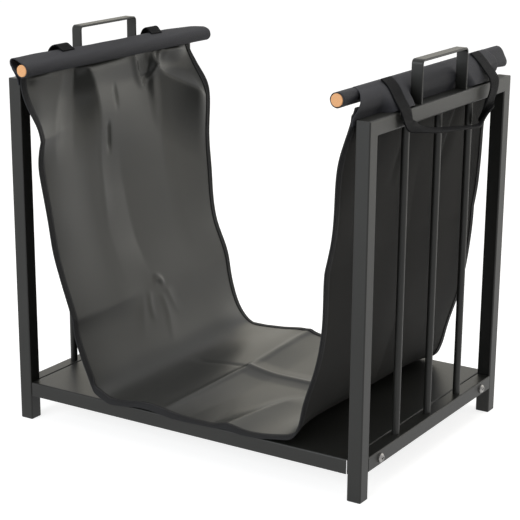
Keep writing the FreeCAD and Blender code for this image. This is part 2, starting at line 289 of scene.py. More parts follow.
def makeStitchLine():
    # dashes along U at a given V: 1 where V is near the line and the place in the stitch pitch is on thread
    group, given, out = newGroup("stitchLine", {"Line": 0.0, "Pitch": 0.003, "Thread": 0.0005}, "Mask")
    split = group.nodes.new("ShaderNodeSeparateXYZ")
    group.links.new(given.outputs["Vector"], split.inputs[0])
    place = mathNode(group, "FRACT", mathNode(group, "DIVIDE", split.outputs["X"], given.outputs["Pitch"]))
    threadShare = 0.68  # how much of each pitch is thread
    on = mathNode(group, "LESS_THAN", place, threadShare)
    off = mathNode(group, "ABSOLUTE", mathNode(group, "SUBTRACT", split.outputs["Y"], given.outputs["Line"]))
    near = mathNode(group, "LESS_THAN", off, given.outputs["Thread"])
    group.links.new(mathNode(group, "MULTIPLY", on, near), out.inputs["Mask"])
    return group


mottleGroup = makeMottle()
weaveGroup = makeWeave()
stitchGroup = makeStitchLine()


def newMaterial(name, **values):
    # a material with one Principled BSDF whose plain values are set on its own sockets
    material = bpy.data.materials.new(name)
    material.use_nodes = True
    tree = material.node_tree
    shader = tree.nodes["Principled BSDF"]
    for label, value in values.items():
        shader.inputs[label].default_value = value
    place = tree.nodes.new("ShaderNodeTexCoord")
    return material, tree, shader, place


def groupNode(tree, group, vector, **values):
    node = tree.nodes.new("ShaderNodeGroup")
    node.node_tree = group
    tree.links.new(vector, node.inputs["Vector"])
    for label, value in values.items():
        node.inputs[label].default_value = value
    return node


def bumpTo(tree, shader, height, strength, distance):
    node = tree.nodes.new("ShaderNodeBump")
    node.inputs["Strength"].default_value = strength
    node.inputs["Distance"].default_value = distance
    tree.links.new(height, node.inputs["Height"])
    tree.links.new(node.outputs["Normal"], shader.inputs["Normal"])


def hardMaterial(name, settings):
    # coat, plate or plastic: colour in soft clouds, or in the grain where there are none; roughness follows the
    # grain, or the clouds where there is none, and the grain is also a fine bump
    material, tree, shader, place = newMaterial(name, **settings["values"])
    if "clouds" in settings:
        scale, contrast = settings["clouds"]
        clouds = groupNode(tree, mottleGroup, place.outputs["Object"], Scale=scale, Contrast=contrast)
        colour = rough = clouds.outputs["Mask"]
    if "grain" in settings:
        rough = noiseNode(tree, place.outputs["Object"], *settings["grain"])
        bumpTo(tree, shader, rough, *settings["bump"])
        colour = colour if "clouds" in settings else rough
    colourBy(tree, shader, colour, settings["dark"], settings["light"])
    roughBy(tree, shader, rough, *settings["rough"])
    return material


def wovenCloth(name, settings):
    # cloth on its own UV: thread-high weave, with a painted highlight on the thread tops and painted shade
    # between them, and cloudy wear
    contrast = 1.3
    material, tree, shader, place = newMaterial(name, **{"Specular IOR Level": settings["gloss"]})
    weave = groupNode(tree, weaveGroup, place.outputs["UV"], Threads=settings["threads"])
    clouds = groupNode(tree, mottleGroup, place.outputs["UV"], Scale=settings["cloudScale"], Contrast=contrast)
    # the weave's height, times its share, makes the tops of the threads paler and the hollows between them
    # darker: painted light and shade
    lifted = mathNode(tree, "MULTIPLY", weave.outputs["Height"], settings["weaveShadeShare"])
    tone = mathNode(tree, "MULTIPLY_ADD", clouds.outputs["Mask"], 1 - settings["weaveShadeShare"], lifted)
    colourBy(tree, shader, tone, settings["dark"], settings["light"])
    roughBy(tree, shader, clouds.outputs["Mask"], *settings["rough"])
    bumpTo(tree, shader, weave.outputs["Height"], *settings["bump"])
    return material


# dark and light are ramp stops, clouds and grain start with the noise's scale, rough is spread and least value,
# and bump is strength and height
hardSettings = {
    "powderCoat": {
        "values": {"Specular IOR Level": 0.34},
        "dark": (0.25, (0.009, 0.0092, 0.0082)), "light": (0.75, (0.014, 0.0142, 0.0128)),
        "clouds": (9.0, 1.2), "grain": (900.0, 0.6), "rough": (0.14, 0.34), "bump": (0.10, 0.0004),
    },
    "zincPlate": {
        "values": {"Metallic": 1.0},
        "dark": (0.2, (0.20, 0.195, 0.19)), "light": (0.8, (0.36, 0.35, 0.34)),
        "clouds": (260.0, 1.4), "rough": (0.2, 0.26),
    },
    "plugPlastic": {
        "values": {"Specular IOR Level": 0.4},
        "dark": (0.3, (0.014, 0.014, 0.015)), "light": (0.7, (0.022, 0.022, 0.023)),
        "grain": (1400.0, 0.6), "rough": (0.2, 0.42), "bump": (0.15, 0.0003),
    },
}
coatMaterial, zinc, plugPlastic = (hardMaterial(*named) for named in hardSettings.items())

clothSettings = {
    "coatedCloth": {
        "dark": (0.15, (0.020, 0.0204, 0.0192)), "light": (0.85, (0.028, 0.0285, 0.0268)), "gloss": 0.27,
        "threads": 1500.0, "weaveShadeShare": 0.15, "cloudScale": 9.0, "rough": (0.12, 0.31), "bump": (0.06, 0.0003),
    },
    "outerCloth": {
        "dark": (0.15, (0.010, 0.0098, 0.0093)), "light": (0.85, (0.020, 0.0194, 0.0185)), "gloss": 0.18,
        "threads": 1100.0, "weaveShadeShare": 0.5, "cloudScale": 7.0, "rough": (0.12, 0.72), "bump": (0.25, 0.0003),
    },
    "sleeveCloth": {
        "dark": (0.15, (0.023, 0.0233, 0.0268)), "light": (0.85, (0.043, 0.0435, 0.0500)), "gloss": 0.26,
        "threads": 1100.0, "weaveShadeShare": 0.5, "cloudScale": 14.0, "rough": (0.12, 0.70), "bump": (0.25, 0.0003),
    },
}
coatedMaterial, outerMaterial, sleeveMaterial = (wovenCloth(*named) for named in clothSettings.items())


def tapeMaterial(name, settings):
    # woven tape: ribs across it, paler on their tops and darker between them as painted highlight and painted
    # shade, a dashed seam along each given line, thread a little paler than the tape
    material, tree, shader, place = newMaterial(
        name, **{"Specular IOR Level": settings["gloss"], "Roughness": settings["rough"]}
    )
    weaveShadeShare, pitch, thread = 0.5, 0.0032, 0.00045
    weave = groupNode(tree, weaveGroup, place.outputs["UV"], Threads=settings["threads"])
    height = mathNode(tree, "MULTIPLY", weave.outputs["Height"], weaveShadeShare)
    # the ribs' height is also their colour: a painted highlight on their tops and painted shade between them
    tone = height
    for line in settings["seams"]:
        seam = groupNode(tree, stitchGroup, place.outputs["UV"], Line=line, Pitch=pitch, Thread=thread)
        tone = mathNode(tree, "MAXIMUM", tone, seam.outputs["Mask"])
        height = mathNode(tree, "ADD", height, seam.outputs["Mask"])
    colourBy(tree, shader, tone, settings["dark"], settings["light"], settings["thread"])
    bumpTo(tree, shader, height, *settings["bump"])
    return material


tapeSettings = {
    "bindingTape": {
        "dark": (0.0, (0.010, 0.010, 0.011)), "light": (0.55, (0.020, 0.020, 0.021)),
        "thread": (1.0, (0.038, 0.038, 0.040)), "seams": [0.002],
        "gloss": 0.15, "rough": 0.68, "threads": 900.0, "bump": (0.3, 0.0005),
    },
    "webbing": {
        "dark": (0.0, (0.004, 0.004, 0.0045)), "light": (0.55, (0.011, 0.011, 0.012)),
        "thread": (1.0, (0.018, 0.018, 0.0195)), "seams": [-0.0108, 0.0108],
        "gloss": 0.06, "rough": 0.66, "threads": 620.0, "bump": (0.5, 0.0005),
    },
}
bindingMaterial, webbingMaterial = (tapeMaterial(*named) for named in tapeSettings.items())


def woodMaterial(name, centre, settings):
    # dowel: growth rings round a pith beside the axis, drawn out along Y so that the sides show long grain
    material, tree, shader, place = newMaterial(name, **{"Specular IOR Level": settings["gloss"]})
    shift = tree.nodes.new("ShaderNodeMapping")
    shift.inputs["Location"].default_value = (-centre[0], 0, -centre[1])
    shift.inputs["Scale"].default_value = (1, settings["stretch"], 1)
    tree.links.new(place.outputs["Object"], shift.inputs["Vector"])
    wave = tree.nodes.new("ShaderNodeTexWave")
    wave.wave_type = "RINGS"
    wave.rings_direction = "Y"
    for label, value in settings["rings"].items():
        wave.inputs[label].default_value = value
    tree.links.new(shift.outputs["Vector"], wave.inputs["Vector"])
    pores = noiseNode(tree, shift.outputs["Vector"], *settings["pores"])
    rings = mathNode(tree, "MULTIPLY", wave.outputs["Fac"], 1 - settings["poreShare"])
    tone = mathNode(tree, "MULTIPLY_ADD", pores, settings["poreShare"], rings)
    colourBy(tree, shader, tone, settings["dark"], settings["light"])
    roughBy(tree, shader, pores, *settings["rough"])
    bumpTo(tree, shader, tone, *settings["bump"])
    return material


woodSettings = {
    "dark": (0.15, (0.66, 0.30, 0.12)), "light": (0.8, (0.90, 0.50, 0.24)), "gloss": 0.35,
    "stretch": 0.06,  # scale along the dowel against the scale across it
    "rings": {"Scale": 420.0, "Distortion": 2.2, "Detail": 2.0, "Detail Scale": 1.4},
    "pores": (2600.0, 0.7), "poreShare": 0.45, "rough": (0.15, 0.5), "bump": (0.12, 0.0003),
}
leftWood = woodMaterial("leftDowelWood", (-0.2355, 0.5005), woodSettings)
rightWood = woodMaterial("rightDowelWood", (0.2405, 0.5105), woodSettings)


endFrameParts = (
    "front_post", "back_post", "top_rail", "bottom_rail",
    "front_bar", "middle_bar", "back_bar", "lifting_handle",
)
finishes = {side + "_" + part: coatMaterial for side in ("left", "right") for part in endFrameParts}
finishes.update(
    base_tray=coatMaterial, tray_bolts=zinc, tray_weld_nuts=zinc, foot_plugs=plugPlastic,
    left_dowel=leftWood, right_dowel=rightWood,
)
for name, material in finishes.items():
    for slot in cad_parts[name].material_slots:
        slot.material = material
print("materials set on the rack")


# Sling panel. Both edges are given as X and Z from the left sleeve, over the tray, to the right sleeve.

slingSettings = {
    "frontEdge": [
        (-252.5, 497), (-250.3, 479), (-237, 447), (-218.5, 413), (-221.5, 383), (-220, 350), (-209, 291),
        (-202, 252), (-194, 226), (-179, 176), (-170, 141), (-155, 101), (-134, 68), (-111, 58.6),
        (-87, 60), (-65, 63.5), (-45, 63), (-18, 58.8), (16, 58.6), (51, 58.8), (73, 61), (98, 58.8),
        (131, 61), (156, 65), (178.5, 72), (191, 108), (204, 151), (215, 193), (220, 238), (222, 284),
        (230, 336), (233, 386), (237, 433), (243.5, 455), (250.5, 478), (252.3, 487), (254.2, 499),
    ],
    "backEdge": [
        (-252.5, 497), (-250.3, 480), (-239, 457), (-220.5, 429), (-216, 402), (-217.5, 356), (-213.5, 294),
        (-210.5, 247), (-204.5, 215), (-186.5, 170), (-179.5, 137), (-171.5, 107), (-156.5, 76),
        (-136, 59.2), (-109, 58.8), (-76, 60), (-46, 62), (-18, 59), (16, 58.6), (51, 58.6), (76, 58.6),
        (104, 58.6), (138, 58.8), (163, 60.5), (182, 69), (195.5, 107), (209.5, 153), (220.5, 197),
        (227, 245), (231, 290), (235.5, 336), (238.5, 386), (240.5, 426), (244, 448), (250.3, 476),
        (252, 486), (254, 498),
    ],
    "frontY": -204.0,
    "backY": 194.0,
    "frontCorner": 6.0,  # how far each top corner is cut back
    "backCorner": 14.0,
    "cornerLength": 45.0,
    "edgeSpread": (60.0, 24.0),  # how far the edges are evened out for the middle, in the walls and below
    "wallLength": (150.0, 290.0),  # where the walls' evening out ends
    "edgeReach": 75.0,  # how far from the edge its waves still show
    # how the middle of the left wall hangs back: depth, then where it starts and ends along and across
    "sag": (12.0, (0, 52), (180, 380), (-205, -90), (88, 212)),
    "ripple": (0.8, (61, 83), (140, 47)),  # rise, then the lengths along and across of two crossing waves
    "sewnLength": 14.0,  # how far from the sleeves the folds come in
    "thickness": 1.5,
    "fineCount": 4001,
    "rows": 372,
    "columns": 118,
    "traySide": 200.6,
    "nearTray": 60.0,  # cloth lower than this lies on the tray, no lower than its top
    "trayTop": 58.4,
    "railHeights": (455, 490),  # between these the cloth stays inside the rails
    "railInside": 251.2,
    # each fold: direction, crest as (along, across) with along counted in that direction, rise towards the
    # inside, reach before the crest (a length, or the line where the fold starts) and after it, how far it
    # fades in and out at the crest's ends, and power
    "folds": [
        ("length", [(0, -116), (35, -127), (84, -158), (140, -168)], 2, (40, 30), (30, 60), 1.8),
        ("length", [(0, -82), (17, -76), (30, -66), (58, -58), (90, -56), (140, -62)],
         15, ([(0, -86), (14, -91), (46, -98), (84, -109), (140, -126)], 160), (20, 95), 1.12),
        ("length", [(45, -10), (85, -12)], -2.4, (9, 6), (15, 20), 1.8),
        ("length", [(95, -37), (145, -37)], -2.8, (12, 5), (10, 20), 1.8),
        ("length", [(0, 38), (64, 66)], 4.0, (14, 7), (5, 16), 1.8),
        ("length", [(0, 80), (44, 77)], 3.0, (7, 7), (5, 14), 1.8),
        ("length", [(0, 120), (64, 68)], 4.5, (7, 12), (5, 16), 1.8),
        ("width", [(80, 20), (95, 33), (122, 55), (153, 76), (190, 107)], 13, (38, 110), (12, 22), 1.6),
        ("length", [(5, 102), (50, 102), (118, 100), (215, 92)], -10, (170, 104), (62, 120), 1.05),
        ("width", [(-215, 351), (-90, 351), (-30, 349)], 3.6, (60, 30), (1, 60), 1.8),
        ("width", [(60, 350), (200, 350)], 0.6, (40, 40), (40, 10), 1.8),
        ("length", [(352, -20), (378, -26), (398, -24)], 1.5, (9, 14), (8, 22), 1.8),
        ("length", [(362, 6), (395, 10), (440, -4)], 1.4, (12, 26), (10, 50), 1.8),
        ("length", [(352, -36), (420, -62)], 1.1, (24, 22), (24, 44), 1.8),
        ("length", [(354, 20), (405, 38)], 1.2, (14, 20), (10, 40), 1.8),
        ("length", [(130, -14), (335, -4)], -5, (60, 130), (70, 60), 1.15),
        ("length", [(115, -58), (250, -66)], 1.0, (12, 24), (30, 60), 1.8),
        ("width", [(-194, 15), (-170, 14), (-125, 11)], 4, (12, 18), (20, 50), 1.8),
        ("width", [(108, 15), (150, 16), (178, 16)], 8, (14, 24), (15, 30), 1.8),
        ("width", [(-215, 93), (-165, 91), (-105, 88)], 1.4, (14, 12), (1, 80), 1.8),
        ("width", [(-215, 568), (0, 573), (200, 564)], 4.6, (70, 48), (1, 1), 1.3),
        ("width", [(-190, 569), (0, 573), (200, 564)], 1.7, (9, 7), (40, 10), 1.3),
        ("length", [(566, 3), (735, 0)], 1.7, (7, 9), (6, 30), 1.3),
        ("length", [(480, -6), (572, 2)], -1.6, (18, 10), (20, 6), 1.8),
        ("length", [(572, 3), (735, 0)], 3.4, (26, 34), (6, 40), 1.3),
        ("width", [(-215, 668), (-115, 683), (-47, 701)], 4.0, (26, 60), (1, 40), 1.8),
        ("length", [(780, 4), (960, 0), (1130, 6)], 1.8, (45, 40), (30, 60), 1.8),
        ("length", [(1090, -70), (1175, -40)], 3.0, (22, 14), (40, 6), 1.8),
        ("length", [(1080, 60), (1175, 96)], 3.4, (16, 26), (40, 6), 1.8),
        ("width", [(-215, 790), (200, 790)], 1.4, (40, 40), (5, 5), 1.8),
        ("width", [(-215, 1010), (200, 1010)], 1.6, (40, 40), (5, 5), 1.8),
    ],
    "pucker": (350, 4, 11.0, 2.6),  # along, across, radius and rise of the horseshoe fold
    "puckerWidth": 4.2,
    "puckerOpen": ((6, -8), (-11, 3)),  # where it comes in, along and across
    "hemHeights": (90, 64),  # where in Z the cloth starts to hang to the hem
    "hemEnds": ((-170, -140), (185, 160)),  # the same in X, at the hem's left and right end
    "hemLift": 1.6,
    "hemPower": 1.3,
    "hem": [  # X and Z of the front hem over the tray's edge
        (-150, 62), (-134, 62), (-116, 54), (-104, 54), (-87, 56.2), (-67, 59.0), (-45, 58.8), (-24, 56.6),
        (-11, 55), (16, 55), (51, 56.3), (73, 57.8), (86, 56.8), (98, 56.0), (113, 56.2), (132, 58),
        (151, 61.5), (165, 63.5),
    ],
}


def foldHeight(fold, lengths, widths):
    # the rise falls off on both sides of the crest as (1 - distance / reach)^power and fades at its two ends
    direction, places, rise, (before, after), (fadeIn, fadeOut), power = fold
    along, across = (lengths, widths) if direction == "length" else (widths, lengths)
    first, last = places[0][0], places[-1][0]
    inside = np.clip(along, first, last)

    def lineAt(places):
        # smooth line through the places, held at the crest's ends
        knots = np.array(places, float)
        return smoothThrough(knots[:, 0], knots[:, 1:], inside.ravel())[:, 0].reshape(inside.shape)

    crest = lineAt(places)
    before = crest - lineAt(before) if isinstance(before, list) else before
    distance = across - crest
    reach = np.where(distance < 0, before, after)
    height = np.clip(1 - np.abs(distance) / reach, 0, 1) ** power
    early = 0.2  # how much of a fade lies past the crest's end
    rising = smoothStep(first - early * fadeIn, first + fadeIn, along)
    falling = 1 - smoothStep(last - fadeOut, last + early * fadeOut, along)
    return rise * height * rising * falling


def softened(line, spacing, spread):
    # Gaussian average along a line of points, carried on past its ends by point reflection
    reach = int(3 * spread / spacing)
    weights = np.exp(-0.5 * (np.arange(-reach, reach + 1) * spacing / spread) ** 2)
    before, after = 2 * line[:1] - line[reach:0:-1], 2 * line[-1:] - line[-2 : -reach - 2 : -1]
    padded = np.concatenate((before, line, after))
    columns = [np.convolve(column, weights / weights.sum(), "valid") for column in padded.T]
    return np.stack(columns, axis=1)


def slingSurface(settings):
    # ruled surface between the two softened edge curves, whose own waves die out away from the edges; cut back
    # at its top corners, raised along its normal by the folds, the pucker and a slow ripple, and lowered by the
    # left wall's sag; the part past the tray's front edge hangs to the hem line
    front, back = (np.array(settings[edge], float) for edge in ("frontEdge", "backEdge"))
    knots = lengthAlong((front + back) / 2)
    fine = np.linspace(0, knots[-1], settings["fineCount"])
    measured = lengthAlong(smoothThrough(knots, (front + back) / 2, fine))
    lengths = np.linspace(0, measured[-1], settings["rows"])
    at = np.interp(lengths, measured, fine)
    frontLine, backLine = smoothThrough(knots, front, at), smoothThrough(knots, back, at)
    fromTop = np.minimum(lengths, lengths[-1] - lengths)
    inWall = 1 - smoothStep(*settings["wallLength"], fromTop)[:, None]
    wallSpread, lowSpread = settings["edgeSpread"]
    softFront, softBack = (
        softened(line, lengths[1], wallSpread) * inWall + softened(line, lengths[1], lowSpread) * (1 - inWall)
        for line in (frontLine, backLine)
    )
    share = np.linspace(0, 1, settings["columns"])[None, :, None]
    fromFront = share * (settings["backY"] - settings["frontY"])
    nearFront = np.clip(1 - fromFront / settings["edgeReach"], 0, 1) ** 2
    nearBack = nearFront[:, ::-1]
    plane = softFront[:, None] * (1 - share) + softBack[:, None] * share
    plane = plane + (frontLine - softFront)[:, None] * nearFront + (backLine - softBack)[:, None] * nearBack
    nearEnd = np.clip(1 - fromTop / settings["cornerLength"], 0, 1) ** 2
    frontSide = settings["frontY"] + settings["frontCorner"] * nearEnd
    backSide = settings["backY"] - settings["backCorner"] * nearEnd
    widths = frontSide[:, None] * (1 - share[..., 0]) + backSide[:, None] * share[..., 0]
    points = np.stack((plane[..., 0], widths, plane[..., 1]), axis=-1)
    run = np.broadcast_to(lengths[:, None], widths.shape)
    height = sum(foldHeight(fold, run, widths) for fold in settings["folds"])
    along, across, radius, rise = settings["pucker"]
    ring = np.hypot(run - along, widths - across)
    openAlong, openAcross = settings["puckerOpen"]
    around = smoothStep(*openAlong, run - along) * smoothStep(*openAcross, widths - across)
    height += rise * np.exp(-(((ring - radius) / settings["puckerWidth"]) ** 2)) * around
    rise, first, second = settings["ripple"]
    height += rise * np.sin(run / first[0] + widths / first[1]) * np.sin(widths / second[1] - run / second[0])
    depth, down, out, left, right = settings["sag"]
    sagged = smoothStep(*down, run) * (1 - smoothStep(*out, run))
    height -= depth * sagged * smoothStep(*left, widths) * (1 - smoothStep(*right, widths))
    sewn = settings["sewnLength"]
    height *= smoothStep(0, sewn, run) * smoothStep(0, sewn, lengths[-1] - run)
    points = points + surfaceNormals(points) * height[..., None]
    x, y, z = points[..., 0], points[..., 1], points[..., 2]
    past = np.clip((-settings["traySide"] - y) / (-settings["traySide"] - settings["frontY"]), 0, 1)
    hem = np.array(settings["hem"], float)
    hang = np.interp(x, hem[:, 0], hem[:, 1]) + settings["hemLift"]
    leftEnd, rightEnd = settings["hemEnds"]
    onTray = smoothStep(*settings["hemHeights"], z) * smoothStep(*leftEnd, x) * smoothStep(*rightEnd, x)
    z = z + onTray * past ** settings["hemPower"] * np.minimum(hang - z, 0)
    z = np.where((past <= 0) & (z < settings["nearTray"]), np.maximum(z, settings["trayTop"]), z)
    low, high = settings["railHeights"]
    inside = settings["railInside"]
    x = np.where((z < high) & (z > low), np.clip(x, -inside, inside), x)
    return np.stack((x, y, z), axis=-1), np.stack((run, widths), axis=-1) * mm


slingPoints, slingUv = slingSurface(slingSettings)
slingPanel = makePiece(
    "slingPanel",
    [sheetSides(slingPoints, slingSettings["thickness"], slingUv, 0, 1, 1)],
    [coatedMaterial, outerMaterial],
)
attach(slingPanel, "bag")
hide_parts("bag_panel")


# Binding tape round the panel's front and back edges

bindingSettings = {
    "width": 8.5, "tape": 0.8, "lift": 0.05, "columnsIn": 5, "columnsSearched": 14, "turns": 7,
    "innerStep": 0.4,  # how near to the edge the flat part comes
    "roundLength": 2.5,  # half the way round the edge, for the UV
}


def bindingTape(settings, front):
    # U section round an edge: in along the inside of the panel, half a turn round the edge, back along the
    # outside; the tape's own thickness is a second U nearer to the cloth
    rows = slingPoints if front else slingPoints[:, ::-1]
    normals = surfaceNormals(slingPoints)
    normals = normals if front else normals[:, ::-1]
    edge, reachIn = rows[:, 0], np.linalg.norm(rows - rows[:, :1], axis=-1)
    steps = np.linspace(settings["width"], settings["innerStep"], settings["columnsIn"])
    searched = np.arange(settings["columnsSearched"])
    place = np.array([np.interp(steps, row[searched], searched) for row in reachIn])
    low = place.astype(int)
    part = (place - low)[..., None]
    number = np.arange(len(rows))[:, None]
    lying = rows[number, low] * (1 - part) + rows[number, low + 1] * part
    facing = unit(normals[number, low] * (1 - part) + normals[number, low + 1] * part)
    outward = unit(edge - lying[:, -2])
    angles = np.linspace(0, np.pi, settings["turns"])[None, :, None]
    loops = []
    for added in (settings["tape"], settings["lift"]):
        reach = slingSettings["thickness"] / 2 + added
        turned = edge[:, None] + reach * (np.cos(angles) * facing[:, -1:] + np.sin(angles) * outward[:, None])
        under = (lying - facing * reach)[:, ::-1]
        loops.append(np.concatenate((lying + facing * reach, turned, under), axis=1))
    section = np.concatenate((loops[0], loops[1][:, ::-1]), axis=1)
    around = np.concatenate((steps, -np.linspace(0, settings["roundLength"], settings["turns"]), steps[::-1]))
    around = np.concatenate((around, around[::-1]))
    uv = np.stack(np.broadcast_arrays(slingUv[:, :1, 0], (settings["width"] - around)[None] * mm), axis=-1)
    quads = gridFaces(len(rows), section.shape[1], roundColumns=True)
    near = np.arange(section.shape[1] // 2)
    caps = endCaps(near, section.shape[1] - 1 - near, (len(rows) - 1) * section.shape[1])
    return section, np.concatenate((quads, caps)), uv, 0


for label, front in (("front", True), ("back", False)):
    binding = makePiece(label + "EdgeBinding", [bindingTape(bindingSettings, front)], [bindingMaterial])
    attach(binding, "bag")
    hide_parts(label + "_edge_binding")


# Dowel sleeves: a loop round the dowel drawn out to a ridge, and a flap from it that goes down inside the rail
# and lies over the rail under each strap. Outward and up are measured from the dowel's axis.

sleeveSettings = {
    "left": {
        "sign": -1,
        "axis": (238.0, 499.0),
        "ridge": [  # Y, outward, up
            (-215, 13.7, 9), (-125, 13.6, 9), (-90, 11.6, 8.6), (-75, 11.0, 8.5), (75, 11.0, 8.3),
            (90, 11.6, 8.3), (120, 13, 8), (150, 13, 7.5), (180, 11.5, 6.5), (200, 9.5, 5.5), (215, 7, 4),
        ],
        "ends": (-215.0, 215.0),
        "flap": [  # X as on the right, Z, front Y, back Y
            (257.1, 510.3, -214, 152), (257.6, 507, -214, 165), (257.3, 503, -213, 172),
            (256.6, 499, -212, 178), (255.7, 495, -210, 182), (254.9, 490.5, -208, 185),
            (254.2, 485.5, -206, 187), (253.6, 477, -205, 189),
        ],
        "overRail": [  # X and Z of the same places under the straps
            (257.1, 510.3), (257.9, 507), (260, 503), (263, 499.5), (266, 496), (268.8, 492.8),
            (271.2, 489.8), (273.2, 487),
        ],
        "handleRoom": 2.6,
    },
    "right": {
        "sign": 1,
        "axis": (238.0, 509.0),
        "ridge": [
            (-215, 1.5, 0.5), (-190, 2.0, 0.5), (-160, 5.0, 0.5), (-75, 5.5, 0.5), (75, 5.5, 0.5),
            (120, 5.5, 0.3), (150, 6.5, -2.0), (175, 8.0, -6.0), (200, 9.0, -9.5), (231, 9.4, -11.5),
        ],
        "ends": (-215.0, 231.0),
        "flap": [
            (237.1, 518.9, -176, 186), (240.6, 518.6, -177, 186), (243.7, 517.1, -178, 186),
            (250.8, 513, -183, 187), (255.6, 508.6, -190, 188), (257.9, 504.3, -194, 188),
            (258.3, 499.5, -198, 189), (257.2, 494.2, -201, 190), (254.0, 488, -203, 190),
            (252.6, 477, -204, 190),
        ],
        "overRail": [
            (237.1, 518.9), (240.6, 518.6), (243.7, 517.1), (249.5, 513.8), (255, 509.8), (260, 505.2),
            (264.3, 500.3), (268, 495.5), (270.8, 491), (273.2, 487),
        ],
        "handleRoom": 1.6,
    },
    # Y where the flap goes up over the rail and back under the near strap, and under the far one
    "nearSpan": (-146, -126, -84, -66),
    "farSpan": (70, 90, 152, 170),
    # the flap makes room for the lifting handle: half-length in Y, height in Z and place in X where it sets in
    "handleHalf": (76, 108),
    "handleHeights": (484, 500),
    "handlePlaces": (240, 256),
    "flapWave": (0.4, 37, (246, 252)),  # height and length of the flap's waves and where in X they set in
    "thinEdge": (0.2, 7),  # thickness of the flap's sewn edge, as a share, and how far it takes to fill out
    "ripple": (0.18, 5, 31, 2, 19),  # height, then turns round the loop and length along Y of two waves
    "slack": 0.12,
    "dowelRadius": 8.3,
    "ridgeRadius": 5.4,
    "cloth": 1.1,
    "rows": 130,
    "around": 72,
    "flapRows": 180,
    "flapSteps": 44,
}


def beltOutline(radius, ridgeRadius, outward, up, count):
    # outline of a belt round two circles: its support in each direction is the larger of the two circles'
    # supports, rounded off, and the outline is support times direction plus its slope times the tangent
    fineCount, rounding = 721, 0.5
    angle = np.linspace(0, 2 * np.pi, fineCount)[None, :]
    ridge = outward * np.cos(angle) + up * np.sin(angle) + ridgeRadius
    support = np.logaddexp(radius / rounding, ridge / rounding) * rounding
    slope = np.gradient(support, angle[0], axis=1)
    x = support * np.cos(angle) - slope * np.sin(angle)
    z = support * np.sin(angle) + slope * np.cos(angle)
    run = np.concatenate((np.zeros((len(x), 1)), np.cumsum(np.hypot(np.diff(x), np.diff(z)), axis=1)), axis=1)
    even = np.linspace(0, 1, count, endpoint=False)
    pick = np.array([np.interp(even * row[-1], row, np.arange(fineCount)) for row in run])
    low = pick.astype(int)
    part = pick - low
    number = np.arange(len(x))[:, None]
    return (
        x[number, low] * (1 - part) + x[number, low + 1] * part,
        z[number, low] * (1 - part) + z[number, low + 1] * part,
        run[:, -1],
    )


def sleeveLoop(settings, side):
    # the belt outline carried along Y with a ridge that changes on the way, a cloth's thickness apart inside
    # and outside, closed over the two open ends; long shallow ripples run along it
    own = settings[side]
    knots = np.array(own["ridge"], float)
    y = np.linspace(*own["ends"], settings["rows"])
    ridge = smoothThrough(knots[:, 0], knots[:, 1:], y)
    y = y[:, None]
    turn = np.linspace(0, 2 * np.pi, settings["around"], endpoint=False)[None, :]
    height, turns, length, otherTurns, otherLength = settings["ripple"]
    ripple = height * np.sin(turns * turn + y / length) * np.sin(y / otherLength + otherTurns * turn)
    stretch = 1 + (ripple + settings["slack"]) / (settings["dowelRadius"] + 1)
    layers = []
    for added in (settings["cloth"], 0.0):
        dowelRadius, ridgeRadius = settings["dowelRadius"] + added, settings["ridgeRadius"] + added
        x, z, girth = beltOutline(dowelRadius, ridgeRadius, ridge[:, :1], ridge[:, 1:], settings["around"])
        x = own["sign"] * (own["axis"][0] + x * stretch)
        layers.append(np.stack(np.broadcast_arrays(x, y, own["axis"][1] + z * stretch), axis=-1))
    outer, inner = layers
    wall = np.concatenate((outer, inner[::-1]), axis=0)
    share = np.linspace(0, 1, settings["around"], endpoint=False)[None, :] * girth[:, None]
    uv = np.stack(np.broadcast_arrays(y, share), axis=-1) * mm
    quads = gridFaces(len(wall), settings["around"], roundRows=True, roundColumns=True)
    return wall, quads, np.concatenate((uv, uv[::-1])), 0


def sleeveFlap(settings, side):
    # cloth sheet along a smooth section that changes with Y from the one inside the rail to the one over it and
    # back; its two ends follow their own lines, it makes room for the lifting handle, and it starts thin
    own = settings[side]
    knots = np.array(own["flap"], float)
    run = lengthAlong(knots[:, :2])
    steps = np.linspace(0, run[-1], settings["flapSteps"])
    fine = smoothThrough(run, knots, steps)
    over = smoothThrough(run, np.array(own["overRail"], float), steps)
    share = np.linspace(0, 1, settings["flapRows"])[None, :]
    y = fine[:, 2:3] * (1 - share) + fine[:, 3:4] * share
    lifted = sum(
        smoothStep(start, up, y) * (1 - smoothStep(down, end, y))
        for start, up, down, end in (settings["nearSpan"], settings["farSpan"])
    )
    room = own["handleRoom"] * (1 - smoothStep(*settings["handleHalf"], np.abs(y)))
    room = room * smoothStep(*settings["handleHeights"], fine[:, 1:2])
    inside = fine[:, :1] - room * smoothStep(*settings["handlePlaces"], fine[:, :1])
    x = inside * (1 - lifted) + over[:, :1] * lifted
    z = fine[:, 1:2] * (1 - lifted) + over[:, 1:2] * lifted
    wave, length, places = settings["flapWave"]
    z = z + wave * np.sin(y / length) * smoothStep(*places, fine[:, :1])
    points = np.stack((own["sign"] * x, y, z), axis=-1)
    uv = np.stack(np.broadcast_arrays(y, steps[:, None]), axis=-1) * mm
    thin, filled = settings["thinEdge"]
    thickness = settings["cloth"] * (thin + (1 - thin) * smoothStep(0, filled, steps))[:, None, None]
    return sheetSides(points, thickness, uv, 0, 0, 0)


for side in ("left", "right"):
    sleeve = makePiece(
        side + "DowelSleeve",
        [sleeveLoop(sleeveSettings, side), sleeveFlap(sleeveSettings, side)],
        [sleeveMaterial],
    )
    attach(sleeve, "bag")
    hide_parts(side + "_dowel_sleeve")


# Carry straps: webbing from the sleeve's top over the flap and the rail, hanging in a loop whose lower run lies
# flat. Each row gives X, Y and Z on the edge that is outside on the lower run, then on the one inside there.

